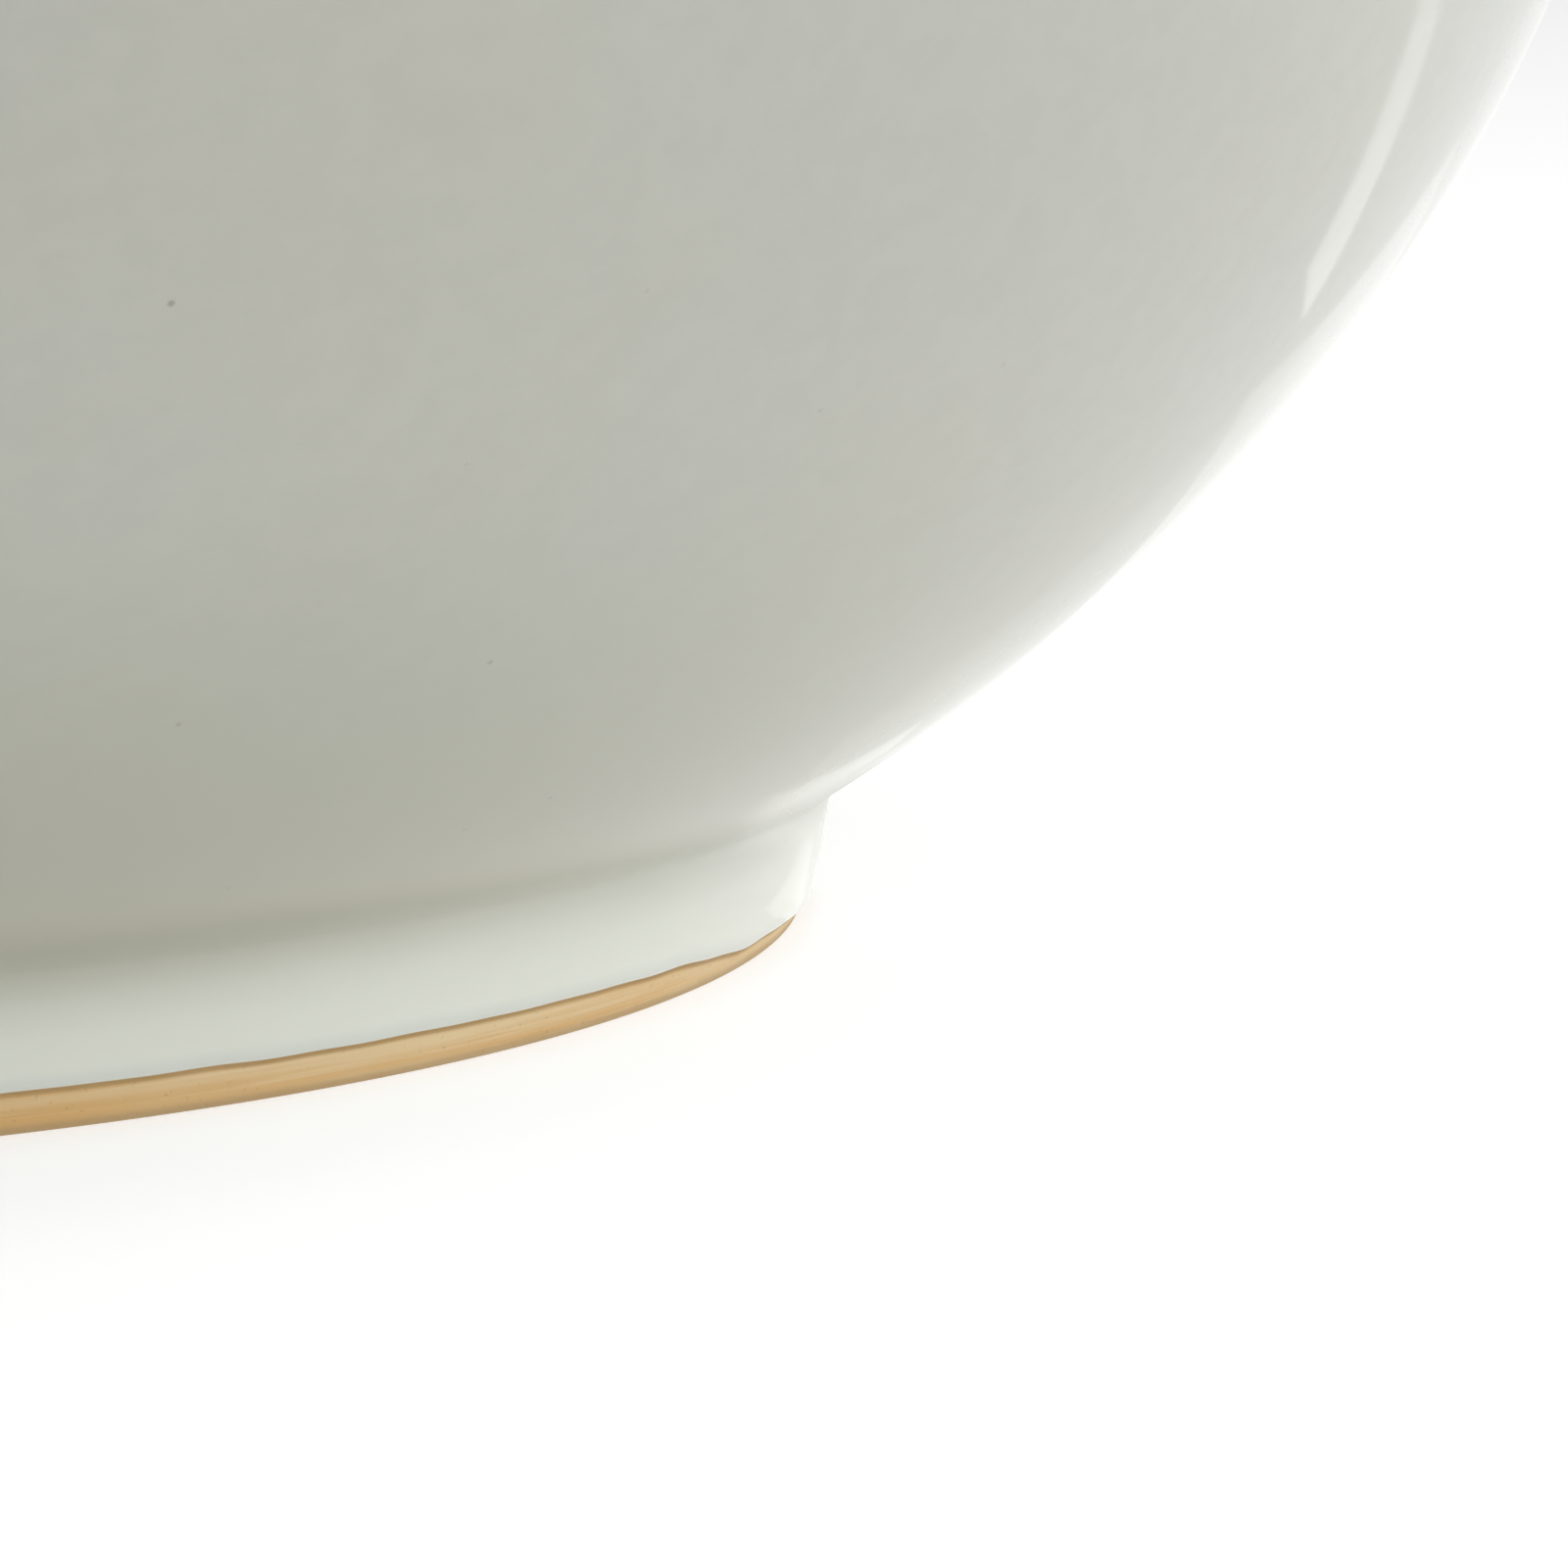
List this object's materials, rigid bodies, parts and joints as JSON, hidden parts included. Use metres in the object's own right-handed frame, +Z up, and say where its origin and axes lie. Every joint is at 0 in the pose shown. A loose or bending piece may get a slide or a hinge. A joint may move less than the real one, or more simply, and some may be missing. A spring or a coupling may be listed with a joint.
{
  "type": "serving bowl",
  "caption": "Large round porcelain serving bowl with a low bare-edged foot ring, a curved flaring wall and a pale grey-green glaze inside and out.",
  "frame": {"origin": "on the bowl's axis, in the plane of the foot ring's bearing face", "axes": "+Z up along the bowl's axis, from the foot to the mouth; X and Y lie in the plane it stands on"},
  "size_m": [0.294, 0.294, 0.088],
  "materials": {
    "porcelain_clay": "unglazed porcelain clay, flashed tan in the kiln, fine grit, matt",
    "white_glaze": "glossy off-white glaze with a pale grey-green tone and rare iron specks"
  },
  "bodies": {
    "root": {"bowl_body": "porcelain_clay", "foot_ring": "porcelain_clay", "outer_glaze": "white_glaze", "inner_glaze": "white_glaze", "foot_well_glaze": "white_glaze"}
  },
  "joints": []
}
